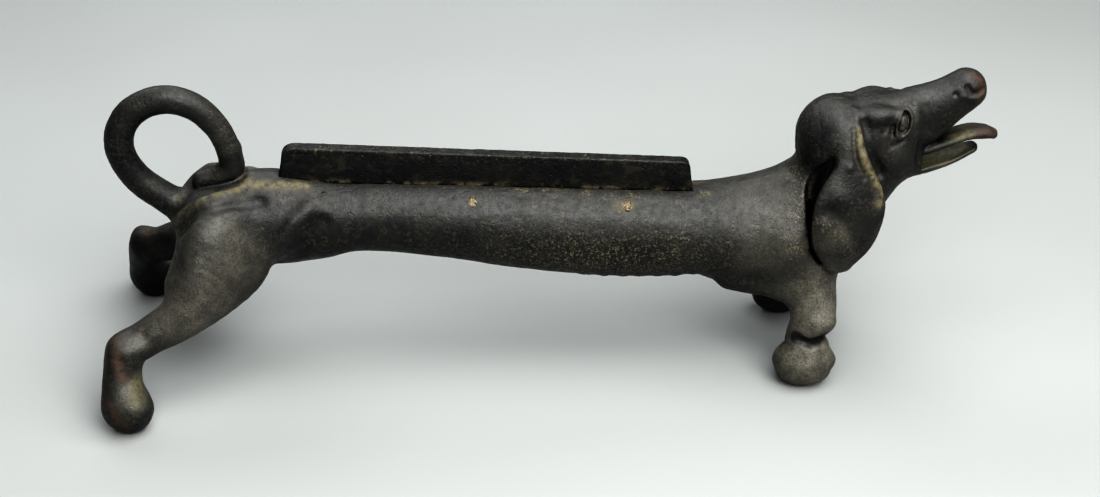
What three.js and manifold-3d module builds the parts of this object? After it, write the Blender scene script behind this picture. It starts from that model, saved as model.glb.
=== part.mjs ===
// Dachshund boot scraper and door stop, in cast iron.
// Two hollow half castings meet on the vertical centre plane. They clamp the tang of a scraper
// blade that stands along the back, and peened rivets hold the three pieces together.
// Millimetres. +X runs to the head, +Y to the dog's left, +Z up. The soles of the paws lie at z = 0.
import * as THREE from 'three';
import { ParametricGeometry } from 'three/addons/geometries/ParametricGeometry.js';
import { mergeVertices } from 'three/addons/utils/BufferGeometryUtils.js';
import Module from 'manifold-3d';

const wasm = await Module();
wasm.setup();

// ---- Driving dimensions ----

const HALF_SEAM = 0.15; // from the centre plane to the joint face of each half
const FIT = 0.3; // clearance between neighbouring pieces
const WALL = 4.5; // wall of the hollow castings
const CENTRE_X = 2.7; // moves the drawn forms so that the whole length is centred on X = 0
const REACH = 700; // longer than the object, for cutting boxes
const WELD_DISTANCE = 1e-5; // points closer than this are one point

const SKIN_SIDES = 18; // facets around a limb
const SMALL_SIDES = 12; // facets around the tail, the brow and the eye
const HOLLOW_DETAIL = { stepsPerStation: 1, sides: 14 }; // the unseen hollow is drawn coarser

const BLADE_THICKNESS = 8;
const BLADE_SINK = 0.8; // how deep the blade's foot sits in the back
const BLADE_REAR = { x: -167, foot: 127.2, top: 149.6 };
const BLADE_FRONT = { x: 82, foot: 117.1, top: 136.8 };
const BLADE_END_LEAN = 2.5; // each end leans in by this much over its height
const BLADE_REAR_CORNER = 10; // sizes of the rounded upper corners
const BLADE_FRONT_CORNER = 6;
const TANG_THICKNESS = 5;
const TANG_DEPTH = 14;
const TANG_INSET = 12; // the tang stops short of the blade's ends by this much
const RIB_HALF_WIDTH = 8; // thickened spine that holds the tang

const RIVET_RADIUS = 2.1;
const RIVET_DROP = 4.7; // blade rivets lie this far below the blade's foot
const BOSS_RADIUS = 7;
const BLADE_RIVETS = { blade_rivet_rear: -140, blade_rivet_middle: -52, blade_rivet_front: 41 };
const RUMP_RIVET = { x: -186, z: 92 };
const CHEST_RIVET = { x: 126, z: 86 };
const NECK_RIVET = { x: 162, z: 122 };

// Ellipsoids on the right side, with their half sizes along X, Y and Z
const EYE = { x: 202, y: 14.6, z: 168, long: 4.4, wide: 3.6, tall: 6.4 };
const NOSTRIL = { x: 250, y: 7.5, z: 186.5, long: 3.2, wide: 3.2, tall: 3.2 };
const FRONT_PAW = { x: 153.2, y: 41.2, z: 15, long: 20, wide: 12.6, tall: 16 };
const HIND_PAW = { x: -256.8, y: 74.6, z: 14.8, long: 15.3, wide: 13, tall: 15.8 };
const THIGH_CORE = { x: -196, y: 20, z: 92, long: 18, wide: 13, tall: 15 };
const SHOULDER_CORE = { x: 148, y: 19, z: 77, long: 18, wide: 13, tall: 18 };

const MOUTH_WIDTH = 60; // wider than the muzzle, which the mouth cuts right through

const DOWN = new THREE.Vector3(0, 0, -1);
const RIGHTWARDS = new THREE.Vector3(0, -1, 0); // to the dog's right
const SIDEWAYS = new THREE.Vector3(0, 1, 0);
const HIND_LEG_NORMAL = new THREE.Vector3(0, 0.85, 0.53);
const FRONT_LEG_NORMAL = new THREE.Vector3(0, 0.96, 0.28);
const EAR_NORMAL = new THREE.Vector3(0.1, 0.98, 0.16);

// ---- Geometry helpers ----

// One station of a loft: its centre, and its half sizes in the loft's own plane and across it.
function station(x, y, z, across, thick) {
  return { centre: new THREE.Vector3(x, y, z), girth: new THREE.Vector3(across, thick, 0) };
}

// A closed skin with elliptical sections along a smooth spine, and a rounded cap at each end.
// The sections' `thick` side follows `normal`.
function loft(stations, { normal = SIDEWAYS, stepsPerStation = 2, sides = SKIN_SIDES, capSteps = 3 } = {}) {
  const spine = new THREE.CatmullRomCurve3(stations.map((s) => s.centre), false, 'catmullrom');
  const girths = new THREE.CatmullRomCurve3(stations.map((s) => s.girth), false, 'catmullrom');
  const spineSteps = (stations.length - 1) * stepsPerStation;
  const rows = spineSteps + 2 * capSteps;
  const surface = (u, v, target) => {
    const row = Math.round(v * rows);
    const beforeStart = Math.max(0, capSteps - row);
    const pastEnd = Math.max(0, row - capSteps - spineSteps);
    const t = THREE.MathUtils.clamp((row - capSteps) / spineSteps, 0, 1);
    const tangent = spine.getTangent(t);
    const girth = girths.getPoint(t);
    const lean = ((pastEnd - beforeStart) / capSteps) * (Math.PI / 2);
    const isPole = beforeStart === capSteps || pastEnd === capSteps;
    const shrink = isPole ? 0 : Math.cos(lean);
    const capDepth = Math.sin(lean) * Math.min(girth.x, girth.y);
    const turn = -(Math.round(u * sides) % sides) * ((2 * Math.PI) / sides);
    const thin = normal.clone().addScaledVector(tangent, -normal.dot(tangent)).normalize();
    const wide = tangent.clone().cross(thin);
    target.copy(spine.getPoint(t)).addScaledVector(tangent, capDepth);
    target.addScaledVector(wide, girth.x * shrink * Math.cos(turn));
    target.addScaledVector(thin, girth.y * shrink * Math.sin(turn));
  };
  return new ParametricGeometry(surface, sides, rows);
}

// An ellipsoid on the dog's right.
function lump({ x, y, z, long, wide, tall }, sides = SKIN_SIDES) {
  return new THREE.SphereGeometry(1, sides, sides / 2).scale(long, wide, tall).translate(x, -y, z);
}

// A side outline in X and Z, given thickness along Y about the centre plane.
function plate(outline, thickness) {
  const geometry = new THREE.ExtrudeGeometry(outline, {
    depth: thickness, bevelEnabled: false, curveSegments: 6,
  });
  return geometry.rotateX(Math.PI / 2).translate(0, thickness / 2, 0);
}

// CylinderGeometry's own axis is Y, which is the way every rivet lies.
function rod(x, z, radius, length = REACH, sides = 20) {
  return new THREE.CylinderGeometry(radius, radius, length, sides).translate(x, 0, z);
}

// Half of space, as a box big enough: the side of the plane at `offset` that `direction` points to.
function halfSpace(direction, offset = 0) {
  const centre = direction.clone().multiplyScalar(REACH / 2 + offset);
  return toSolid(new THREE.BoxGeometry(REACH, REACH, REACH).translate(centre.x, centre.y, centre.z));
}

function toSolid(geometry) {
  const bare = geometry.clone();
  bare.deleteAttribute('normal');
  bare.deleteAttribute('uv');
  const merged = mergeVertices(bare, WELD_DISTANCE);
  const corners = merged.index.array;
  const kept = [];
  for (let i = 0; i < corners.length; i += 3) {
    const [a, b, c] = corners.slice(i, i + 3);
    if (a !== b && b !== c && c !== a) kept.push(a, b, c);
  }
  const vertProperties = Float32Array.from(merged.attributes.position.array);
  return new wasm.Manifold(new wasm.Mesh({ numProp: 3, vertProperties, triVerts: Uint32Array.from(kept) }));
}

function join(geometries) {
  return geometries.map(toSolid).reduce((whole, next) => whole.add(next));
}

function toGeometry(solid) {
  const { vertProperties, triVerts } = solid.getMesh();
  const geometry = new THREE.BufferGeometry();
  geometry.setAttribute('position', new THREE.BufferAttribute(vertProperties, 3));
  geometry.setIndex(new THREE.BufferAttribute(triVerts, 1));
  geometry.computeVertexNormals();
  return geometry;
}

function mirrored(geometry) {
  const copy = geometry.clone().scale(1, -1, 1);
  const corners = copy.index.array;
  for (let i = 0; i < corners.length; i += 3) {
    [corners[i + 1], corners[i + 2]] = [corners[i + 2], corners[i + 1]];
  }
  copy.computeVertexNormals();
  return copy;
}

// ---- Sculpted forms. Paired forms are drawn on the dog's right, at negative Y. ----

// The trunk, from the rump to the front of the chest. `shrink` draws its hollow inside.
function trunk(shrink = 0, detail = {}) {
  const stations = [
    station(-206, 0, 98, 24, 25), station(-184, 0, 100, 27.5, 27), station(-160, 0, 100, 26.5, 26),
    station(-140, 0, 101, 25, 24.5), station(-120, 0, 102.5, 23, 23), station(-90, 0, 101, 23.6, 23.6),
    station(-60, 0, 98.3, 25.2, 25), station(-22, 0, 94, 27.7, 27), station(20, 0, 90.6, 29.3, 28.5),
    station(55, 0, 88.8, 29.6, 29), station(86, 0, 89, 28.5, 28.8), station(98, 0, 88, 31, 30.5),
    station(114, 0, 86.3, 34.8, 33.5), station(132, 0, 86, 36.2, 34), station(152, 0, 88, 33, 32),
  ];
  stations.forEach((s) => s.girth.subScalar(shrink));
  return loft(stations, detail);
}

function neck(shrink = 0, detail = {}) {
  const stations = [
    station(149, 0, 94, 31, 31), station(163, 0, 114, 28.5, 28), station(170, 0, 132, 25.5, 25.5),
    station(170.5, 0, 150, 24.5, 24),
  ];
  stations.forEach((s) => s.girth.subScalar(shrink));
  return loft(stations, detail);
}

function throat() {
  return loft([
    station(176, 0, 104, 20, 20), station(187, 0, 122, 19, 20), station(198, 0, 140, 19, 18.5),
  ]);
}

function skullAndMuzzle() {
  return loft([
    station(168, 0, 152.5, 25, 24), station(186, 0, 157.5, 21.5, 21), station(203, 0, 161.5, 18.5, 17.5),
    station(219, 0, 167, 18.5, 14), station(233, 0, 176, 14.5, 12.2), station(242.5, 0, 183.5, 12.2, 11.6),
  ]);
}

function lowerJaw() {
  return loft([
    station(198, 0, 143, 19, 18), station(208, 0, 138.5, 15, 15.5), station(222, 0, 136, 8.8, 12),
    station(238, 0, 140, 6.2, 10), station(251, 0, 144.3, 4, 6.5),
  ], { sides: SMALL_SIDES });
}

function brow() {
  return loft([
    station(179, -12, 169, 6, 7), station(189, -13, 171.5, 6.5, 6.5), station(198, -13.5, 171.5, 5, 4.5),
  ], { sides: SMALL_SIDES });
}

// The open mouth, a wedge between the lips with its corner at the cheek.
function mouthGap() {
  const outline = new THREE.Shape([
    new THREE.Vector2(218.5, 134), new THREE.Vector2(237, 138.8), new THREE.Vector2(264, 150.4),
    new THREE.Vector2(264, 186), new THREE.Vector2(243, 166.5), new THREE.Vector2(219, 142.5),
  ]);
  return plate(outline, MOUTH_WIDTH);
}

function tongue() {
  return loft([
    station(214, 0, 141.5, 3.4, 8.4), station(232, 0, 147.4, 3.8, 8.6), station(247, 0, 152.6, 3.8, 8.2),
    station(257.5, 0, 154.4, 3.1, 6.4), station(263.7, 0, 154.2, 2.8, 4.6),
  ], { sides: SMALL_SIDES });
}

// The ear hangs from the side of the skull, stands off the neck and rests on the shoulder.
function ear() {
  return loft([
    station(169, -16, 163, 6.5, 5.5), station(170.2, -24, 155, 8, 5.5), station(171.2, -30.5, 142, 14.2, 5.2),
    station(171.2, -35.5, 126, 22, 5), station(170.4, -37.5, 110, 21.8, 5),
    station(169.2, -37.5, 96, 18.4, 5.2), station(167.8, -36.5, 83, 9.5, 5),
  ], { normal: EAR_NORMAL });
}

function hindLeg() {
  return loft([
    station(-194, -13, 101, 30, 20), station(-198.5, -26, 89, 32, 18), station(-208, -37, 74, 25, 15),
    station(-225, -46.5, 60, 15.8, 12.8), station(-243, -53, 51.5, 11.8, 11),
    station(-255.5, -58, 44.5, 11, 10.6), station(-257.8, -65, 34, 9.9, 9.8),
    station(-257, -71.5, 23, 11.5, 11),
  ], { normal: HIND_LEG_NORMAL });
}

function frontLeg() {
  return loft([
    station(143, -15, 88, 27, 19), station(151, -24, 69, 20.5, 16), station(156.5, -30, 54, 15, 13.5),
    station(157, -34.8, 43, 12.6, 12), station(153.2, -38.3, 33, 10.2, 10),
    station(153.2, -40.8, 23, 14, 11),
  ], { normal: FRONT_LEG_NORMAL });
}

// The tail leaves the rump, turns a full loop, lands on the back and ends along its own root.
function tail() {
  return loft([
    station(-206, 0, 97, 11, 11), station(-221, 0, 105.5, 10, 10), station(-234, 0, 114.8, 9, 9),
    station(-248.4, 0, 127, 8.6, 8.6), station(-257, 0, 142, 8.5, 8.5), station(-257.8, 0, 157.6, 8.5, 8.5),
    station(-250.5, 0, 171.2, 8.5, 8.5), station(-238, 0, 178.8, 8.4, 8.4),
    station(-224, 0, 179.6, 8.2, 8.2), station(-210.5, 0, 173.2, 7.9, 7.9),
    station(-200.6, 0, 161, 7.5, 7.5), station(-195, 0, 147, 7.3, 7.3),
    station(-194.5, 0, 135.5, 7.6, 7.4), station(-202, 0, 128.6, 7.4, 7),
    station(-212, 0, 126, 6.3, 6.2),
  ], { stepsPerStation: 3, sides: SMALL_SIDES });
}

// The cores that leave the castings hollow, smaller than the forms around them.
function throatCore() {
  return loft([station(181, 0, 112, 13, 13), station(189, 0, 126, 12, 12)], HOLLOW_DETAIL);
}

function skullCore() {
  return loft([station(171, 0, 153, 20, 19), station(196, 0, 158, 15, 13.5)], HOLLOW_DETAIL);
}

// ---- Blade ----

function spineHeight(x) {
  const along = (x - BLADE_REAR.x) / (BLADE_FRONT.x - BLADE_REAR.x);
  return THREE.MathUtils.lerp(BLADE_REAR.foot, BLADE_FRONT.foot, along);
}

// The blade's side outline, grown by `grow` on every side.
function bladeOutline(grow = 0) {
  const rear = BLADE_REAR.x - grow;
  const front = BLADE_FRONT.x + grow;
  const rearTop = BLADE_REAR.top + grow;
  const frontTop = BLADE_FRONT.top + grow;
  const slope = (frontTop - rearTop) / (front - rear);
  const outline = new THREE.Shape();
  outline.moveTo(rear, BLADE_REAR.foot - BLADE_SINK - grow);
  outline.lineTo(front, BLADE_FRONT.foot - BLADE_SINK - grow);
  const leanFront = front - BLADE_END_LEAN;
  const leanRear = rear + BLADE_END_LEAN;
  outline.lineTo(leanFront, frontTop - BLADE_FRONT_CORNER);
  outline.quadraticCurveTo(leanFront, frontTop, leanFront - BLADE_FRONT_CORNER, frontTop);
  outline.lineTo(leanRear + BLADE_REAR_CORNER, rearTop + slope * BLADE_REAR_CORNER);
  outline.quadraticCurveTo(leanRear, rearTop, leanRear, rearTop - BLADE_REAR_CORNER);
  outline.closePath();
  return outline;
}

// A strip that follows the spine from `above` over the blade's foot to `below` under it.
function spineStrip(inset, above, below, thickness) {
  const rear = BLADE_REAR.x + inset;
  const front = BLADE_FRONT.x - inset;
  return plate(new THREE.Shape([
    new THREE.Vector2(rear, spineHeight(rear) - below), new THREE.Vector2(front, spineHeight(front) - below),
    new THREE.Vector2(front, spineHeight(front) + above), new THREE.Vector2(rear, spineHeight(rear) + above),
  ]), thickness);
}

// ---- Solids ----

const rivetPlaces = {
  rump_rivet: RUMP_RIVET,
  chest_rivet: CHEST_RIVET,
  neck_rivet: NECK_RIVET,
};
for (const [name, x] of Object.entries(BLADE_RIVETS)) {
  rivetPlaces[name] = { x, z: spineHeight(x) - RIVET_DROP };
}

const head = join([skullAndMuzzle(), lowerJaw(), brow(), lump(EYE, SMALL_SIDES)])
  .subtract(join([mouthGap(), lump(NOSTRIL, SMALL_SIDES)]))
  .add(toSolid(tongue()));
const trunkAndLimbs = join([
  trunk(), neck(), throat(), tail(), hindLeg(), frontLeg(), lump(HIND_PAW), lump(FRONT_PAW),
]);
const skinWithoutEar = trunkAndLimbs.add(head).subtract(halfSpace(DOWN));

// The hollow runs through trunk, neck and skull and dishes out the thighs and shoulders.
// Bosses around the rivets and the rib that holds the tang are left standing in it.
function hollow() {
  const cores = [
    trunk(WALL, HOLLOW_DETAIL), neck(WALL, HOLLOW_DETAIL), throatCore(), skullCore(),
    lump(THIGH_CORE, HOLLOW_DETAIL.sides), lump(SHOULDER_CORE, HOLLOW_DETAIL.sides),
  ];
  const bosses = [RUMP_RIVET, CHEST_RIVET, NECK_RIVET].map(({ x, z }) => rod(x, z, BOSS_RADIUS));
  const rib = spineStrip(0, TANG_DEPTH, TANG_DEPTH + WALL, 2 * RIB_HALF_WIDTH);
  return join(cores).subtract(join([...bosses, rib]));
}

function rivetHoles() {
  return join(Object.values(rivetPlaces).map(({ x, z }) => rod(x, z, RIVET_RADIUS + FIT)));
}

function rightHalf() {
  const bladeSeat = plate(bladeOutline(FIT), BLADE_THICKNESS + 2 * FIT);
  const tangSlot = spineStrip(TANG_INSET - FIT, 0, TANG_DEPTH + FIT, TANG_THICKNESS + 2 * FIT);
  return skinWithoutEar.intersect(halfSpace(RIGHTWARDS, HALF_SEAM))
    .subtract(hollow())
    .subtract(join([bladeSeat, tangSlot]))
    .subtract(rivetHoles())
    .add(toSolid(ear()));
}

function scraperBlade() {
  const tang = spineStrip(TANG_INSET, 0, TANG_DEPTH, TANG_THICKNESS);
  return join([plate(bladeOutline(), BLADE_THICKNESS), tang]).subtract(rivetHoles());
}

// A rivet peened flush: its ends follow the skin of the castings.
function rivet({ x, z }) {
  const rightEnd = toSolid(rod(x, z, RIVET_RADIUS)).intersect(skinWithoutEar);
  const half = toGeometry(rightEnd.intersect(halfSpace(RIGHTWARDS)));
  return toSolid(half).add(toSolid(mirrored(half)));
}

// ---- Assembly ----

const group = new THREE.Group();
group.position.x = CENTRE_X;

function addPiece(name, geometry, { color, roughness, metalness }) {
  const mesh = new THREE.Mesh(geometry, new THREE.MeshStandardMaterial({ color, roughness, metalness }));
  mesh.name = name;
  group.add(mesh);
}

const BLACK_PAINTED_IRON = { color: 0x2b2b2a, roughness: 0.55, metalness: 0.3 };
const WORN_BLADE_IRON = { color: 0x242322, roughness: 0.6, metalness: 0.4 };
const RUSTED_RIVET = { color: 0x5a3c28, roughness: 0.8, metalness: 0.3 };

const rightGeometry = toGeometry(rightHalf());
addPiece('right_body_half', rightGeometry, BLACK_PAINTED_IRON);
addPiece('left_body_half', mirrored(rightGeometry), BLACK_PAINTED_IRON);
addPiece('scraper_blade', toGeometry(scraperBlade()), WORN_BLADE_IRON);
for (const [name, place] of Object.entries(rivetPlaces)) {
  addPiece(name, toGeometry(rivet(place)), RUSTED_RIVET);
}

export default group;
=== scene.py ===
# Looks for the dachshund boot scraper: two half castings, a scraper blade and six rivets.
# The dog is sculpted once, as a distance field in millimetres. Its right half is meshed, roughened
# and cut like the real casting, and mirrored for the left half. Each piece is then scaled to metres.
# +X runs to the head, +Y to the dog's left, +Z up.
import math

import bmesh
import bpy
import numpy as np
import openvdb
from mathutils import Matrix, Vector


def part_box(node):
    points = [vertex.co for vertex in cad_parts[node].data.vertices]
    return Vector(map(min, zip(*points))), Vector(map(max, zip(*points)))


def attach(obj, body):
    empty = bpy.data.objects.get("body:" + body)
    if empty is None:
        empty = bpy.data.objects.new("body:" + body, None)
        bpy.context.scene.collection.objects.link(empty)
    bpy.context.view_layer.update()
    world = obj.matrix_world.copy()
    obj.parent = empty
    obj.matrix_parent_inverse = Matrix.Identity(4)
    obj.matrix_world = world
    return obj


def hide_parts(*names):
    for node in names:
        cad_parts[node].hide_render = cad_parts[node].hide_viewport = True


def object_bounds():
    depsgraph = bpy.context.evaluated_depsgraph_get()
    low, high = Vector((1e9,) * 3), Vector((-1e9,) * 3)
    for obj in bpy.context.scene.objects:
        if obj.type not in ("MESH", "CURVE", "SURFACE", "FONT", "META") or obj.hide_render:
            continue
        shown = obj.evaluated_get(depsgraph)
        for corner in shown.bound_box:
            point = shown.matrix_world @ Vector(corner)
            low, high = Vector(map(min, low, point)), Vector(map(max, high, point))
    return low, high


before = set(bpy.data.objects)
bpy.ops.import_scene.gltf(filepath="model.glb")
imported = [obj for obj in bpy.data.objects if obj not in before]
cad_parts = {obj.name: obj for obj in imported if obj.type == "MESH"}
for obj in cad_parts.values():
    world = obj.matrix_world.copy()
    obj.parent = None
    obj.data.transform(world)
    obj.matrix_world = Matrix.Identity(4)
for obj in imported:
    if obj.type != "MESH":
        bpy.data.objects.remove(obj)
CAD_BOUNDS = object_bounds()
MM = 0.001
ROOT = "root"


def box_mm(node):
    low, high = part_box(node)
    return np.array(low) / MM, np.array(high) / MM


def middle_mm(node):
    low, high = box_mm(node)
    return (low + high) / 2


# ---- Places taken from the frame ----

DRAWN_CHEST_RIVET_X = 126
SHIFT = float(middle_mm("chest_rivet")[0]) - DRAWN_CHEST_RIVET_X  # drawn X to frame X
RIVETS = {
    name: middle_mm(name) for name in (
        "blade_rivet_rear", "blade_rivet_middle", "blade_rivet_front",
        "rump_rivet", "chest_rivet", "neck_rivet",
    )
}
BLADE_LOW, BLADE_HIGH = box_mm("scraper_blade")
RIVET_SHANK = float(box_mm("chest_rivet")[1][2] - box_mm("chest_rivet")[0][2]) / 2

# ---- Driving values, in millimetres ----

FAR = 60.0  # a distance that counts as far from the skin
SEAM = 0.01  # from the centre plane to each half's joint face
WALL = 4.5
NECK_WALL = 8.5
FIT = 0.3
SMOOTH_PASSES = 2
CAP_FLATTENING = 0.5
POINT_LENGTH = 0.01  # a path of one place is given this length
SWELL_REACH = 2.6  # in widths
CUTTER_OVERSHOOT = 3  # past the ends of each rivet
CASTING_SHARP = 38  # degrees: steeper edges than this are shaded as sharp
BLADE_SHARP = 60
RIVET_SHARP = 50
CUT_LENGTH = 400
CUT_WIDTH = 200
CUT_TOP = 300
# the grids' axes as (start, (end, cell), ...), finer at the head, the middle and the top
SCULPT_AXES = (
    (-274, (156, 1.0), (276, 0.55)),
    (-92, (-46, 1.0), (4.1, 0.6)),
    (-1.5, (112, 0.9), (199, 0.6)),
)
CAVITY_AXES = ((-240, (215, 2.5)), (-50, (6, 2.5)), (40, (185, 2.5)))
EVERYWHERE = ((-CUT_LENGTH, -CUT_WIDTH, -FAR), (CUT_LENGTH, CUT_WIDTH, CUT_TOP))

EAR_TUCK = 6.5  # how far forward the left ear's rear edge hangs
EAR_REAR_X = 150
EAR_MIDDLE_Z = 113
EAR_INNER_Y = 26
TUCK_LENGTH = 9
TUCK_HEIGHT = 22
TUCK_DEPTH = 6

BLADE_REAR_TOP = 149.6
BLADE_FRONT_TOP = 136.8
BLADE_REAR_FOOT = 126.4
BLADE_FRONT_FOOT = 116.3
SPINE_RISE = 0.8
BLADE_END_LEAN = 2.5
BLADE_REAR_CORNER = 9.0
BLADE_FRONT_CORNER = 5.5
CORNER_LEAN = 0.3
CORNER_POINTS = 9
BLADE_EDGE = 1.0
BLADE_CELL = 0.6
BLADE_THIN_CELL = 0.5  # across its thickness
BLADE_HOLE_REACH = 20
BLADE_MARGIN = 2  # of the blade's grid around it
FOOT_FADE = 2.2
RIM_START = 13
RIM_FADE = 8
TANG_DEPTH = 14.0
TANG_INSET = 12.0
TANG_HALF = 2.5
TANG_OVERLAP = 3
RIB_HALF = 8.0
BOSS_RADIUS = 7.0

RIVET_SIDES = 28
RIVET_CLEARANCE = 0.2
HEAD_RADIUS = 3.3
BARE_RADIUS = 2.8
HEAD_RISE = {"blade_rivet_middle": 0.6, "blade_rivet_front": 0.8}  # the bare ones
PAINTED_RISE = 0.12
HEAD_SINK = 0.15
SETTLING_STEPS = 3  # of Newton's method, to move points onto the skin
FOOT_STEPS = 4
HEAD_RINGS = 6
HEAD_WOBBLE = ((0.05, 2), (0.03, 5))  # size and number of lobes
# how deep under the skin the shank starts, and where it runs level
SHANK_START = 1.2
SHANK_LEVEL = 3.4

# relief as (height, wavelength)
CASTING_WAVES = ((0.28, 15.0), (0.13, 6.5))
CASTING_SAND = ((0.055, 2.6), (0.04, 1.6))
FLANK = (25, 82)  # the middle of the rough part of the barrel, as frame X and Z
FLANK_SIZE = (75, 20)
BOX_MARGIN = 0.02  # kept clear inside the CAD box
CASTING_PITS = (3.4, 0.42, 0.6)  # wavelength, threshold and depth
PARTING_HEIGHT = 0.3
PARTING_WIDTH = 0.8
PARTING_WAVE = 9.0
BLADE_WAVES = ((0.16, 11), (0.09, 4), (0.06, 2.0))
BLADE_PITS = (4.5, 0.4, 0.45)
BLADE_RELIEF_LIMIT = 0.25
BLADE_RELIEF_START = 0.6  # above its foot
BLADE_RELIEF_FADE = 1.5
GRAIN_SEED = 11
BLADE_SEED = 31
RIVET_SEED = 100

SIDE = (0, 1, 0)
HIND_LEG_NORMAL = (0, 0.85, 0.53)
FRONT_LEG_NORMAL = (0, 0.96, 0.28)
EAR_NORMAL = (-0.12, 0.98, 0.16)


# ---- Grid ----

def axis(start, *stretches):
    """Sample positions from start on, with each stretch given as (end, cell)."""
    runs = []
    for end, cell in stretches:
        runs.append(np.linspace(start, end, int(round((end - start) / cell)), endpoint=False))
        start = end
    return np.append(np.concatenate(runs), start).astype(np.float32)


class Grid:
    """A distance field sampled on three axes: negative inside, positive outside."""

    def __init__(self, x, y, z):
        self.axes = (x, y, z)
        self.v = np.full((len(x), len(y), len(z)), FAR, np.float32)

    def window(self, low, high):
        """The part of the grid between two corners, as slices and as broadcast coordinates."""
        cuts = []
        for a, lo, hi in zip(self.axes, low, high):
            first = max(int(np.searchsorted(a, lo)) - 1, 0)
            last = min(int(np.searchsorted(a, hi)) + 1, len(a))
            cuts.append(slice(first, last))
        x, y, z = (a[c] for a, c in zip(self.axes, cuts))
        return tuple(cuts), x[:, None, None], y[None, :, None], z[None, None, :]

    def sample(self, points):
        """The field at any points, by linear interpolation."""
        index = [np.interp(points[:, i], a, np.arange(len(a))) for i, a in enumerate(self.axes)]
        low = [np.clip(i.astype(int), 0, n - 2) for i, n in zip(index, self.v.shape)]
        part = [i - l for i, l in zip(index, low)]
        total = np.zeros(len(points))
        for dx, dy, dz in np.ndindex(2, 2, 2):
            weight = (part[0] if dx else 1 - part[0]) * (part[1] if dy else 1 - part[1])
            weight = weight * (part[2] if dz else 1 - part[2])
            total += weight * self.v[low[0] + dx, low[1] + dy, low[2] + dz]
        return total

    def gradient(self, points, reach=0.6):
        slopes = []
        for i in range(3):
            step = np.zeros(3)
            step[i] = reach
            slopes.append(self.sample(points + step) - self.sample(points - step))
        slopes = np.stack(slopes, 1)
        return slopes / np.maximum(np.linalg.norm(slopes, axis=1, keepdims=True), 1e-9)

    def blur(self):
        """One pass of a three-point blur along each axis."""
        v = self.v
        for i in range(3):
            ahead = np.take(v, np.minimum(np.arange(v.shape[i]) + 1, v.shape[i] - 1), axis=i)
            behind = np.take(v, np.maximum(np.arange(v.shape[i]) - 1, 0), axis=i)
            v = 0.5 * v + 0.25 * ahead + 0.25 * behind
        self.v = v

    def mesh(self):
        """The surface where the field is zero, as points and quads that face outwards."""
        volume = openvdb.FloatGrid(FAR)
        volume.copyFromArray(self.v)
        index, quads = volume.convertToQuads(0.0)
        points = np.stack([np.interp(index[:, i], np.arange(len(a)), a)
                           for i, a in enumerate(self.axes)], 1)
        return points, np.asarray(quads, np.int64)


def smooth_min(a, b, k):
    overlap = np.maximum(k - np.abs(a - b), 0) / k
    return np.minimum(a, b) - overlap * overlap * k * 0.25


def smooth_max(a, b, k):
    return -smooth_min(-a, -b, k)


# ---- Tubes: elliptical sections along a smooth spine ----

def resample(stations, steps):
    """Catmull-Rom through the stations (x, y, z, across, thick), steps rows to each stretch."""
    s = np.array(stations, float)
    s = np.vstack([2 * s[0] - s[1], s, 2 * s[-1] - s[-2]])
    rows = []
    for a, b, c, d in zip(s[:-3], s[1:-2], s[2:-1], s[3:]):
        for t in np.arange(steps) / steps:
            rows.append(0.5 * (2 * b + (c - a) * t + (2 * a - 5 * b + 4 * c - d) * t * t
                               + (3 * b - a - 3 * c + d) * t ** 3))
    return np.array(rows + [s[-2]])


def stretch_field(x, y, z, start, end, normal, caps):
    """Distance to one straight stretch of a tube, whose ends are flattened caps."""
    spine = end[:3] - start[:3]
    length = float(np.linalg.norm(spine))
    along = spine / length
    thin = np.array(normal, float)
    thin = thin - along * (thin @ along)
    thin = thin / np.linalg.norm(thin)
    wide = np.cross(along, thin)
    px, py, pz = x - start[0], y - start[1], z - start[2]
    reach = px * along[0] + py * along[1] + pz * along[2]
    t = np.clip(reach / length, 0, 1)
    across = start[3] + t * (end[3] - start[3])
    thick = start[4] + t * (end[4] - start[4])
    cap = np.where(reach < 0, caps[0], caps[1]) * np.minimum(across, thick)
    w = (px * wide[0] + py * wide[1] + pz * wide[2]) / across
    n = (px * thin[0] + py * thin[1] + pz * thin[2]) / thick
    a = (reach - t * length) / cap
    k0 = np.sqrt(w * w + n * n + a * a)
    k1 = np.sqrt((w / across) ** 2 + (n / thick) ** 2 + (a / cap) ** 2)
    return (k0 * (k0 - 1) / np.maximum(k1, 1e-6)).astype(np.float32)


def tube_field(grid, stations, normal, steps, margin):
    """The tube's own field, in the window of the grid that it fills."""
    rows = resample([(s[0] + SHIFT, *s[1:]) for s in stations], steps)
    girth = float(rows[:, 3:].max()) + margin
    cuts, *_ = grid.window((rows[:, :3] - girth).min(0), (rows[:, :3] + girth).max(0))
    field = np.full([c.stop - c.start for c in cuts], FAR, np.float32)
    for i in range(len(rows) - 1):
        pair = rows[i:i + 2]
        reach = pair[:, 3:].max() + margin
        part, x, y, z = grid.window(pair[:, :3].min(0) - reach, pair[:, :3].max(0) + reach)
        caps = (1 if i == 0 else CAP_FLATTENING, 1 if i == len(rows) - 2 else CAP_FLATTENING)
        inner = tuple(slice(p.start - c.start, p.stop - c.start) for p, c in zip(part, cuts))
        target = field[inner]
        np.minimum(target, stretch_field(x, y, z, pair[0], pair[1], normal, caps), out=target)
    return cuts, field


def add_tube(grid, stations, k, normal=SIDE, steps=4):
    cuts, field = tube_field(grid, stations, normal, steps, k + 4)
    grid.v[cuts] = smooth_min(grid.v[cuts], field, k)


def cut_tube(grid, stations, k, normal=SIDE, steps=3):
    cuts, field = tube_field(grid, stations, normal, steps, k + 2)
    grid.v[cuts] = smooth_max(grid.v[cuts], -field, k)


def add_ball(grid, centre, radii, k):
    cuts, field = ball_field(grid, centre, radii, k + 4)
    grid.v[cuts] = smooth_min(grid.v[cuts], field, k)


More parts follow.
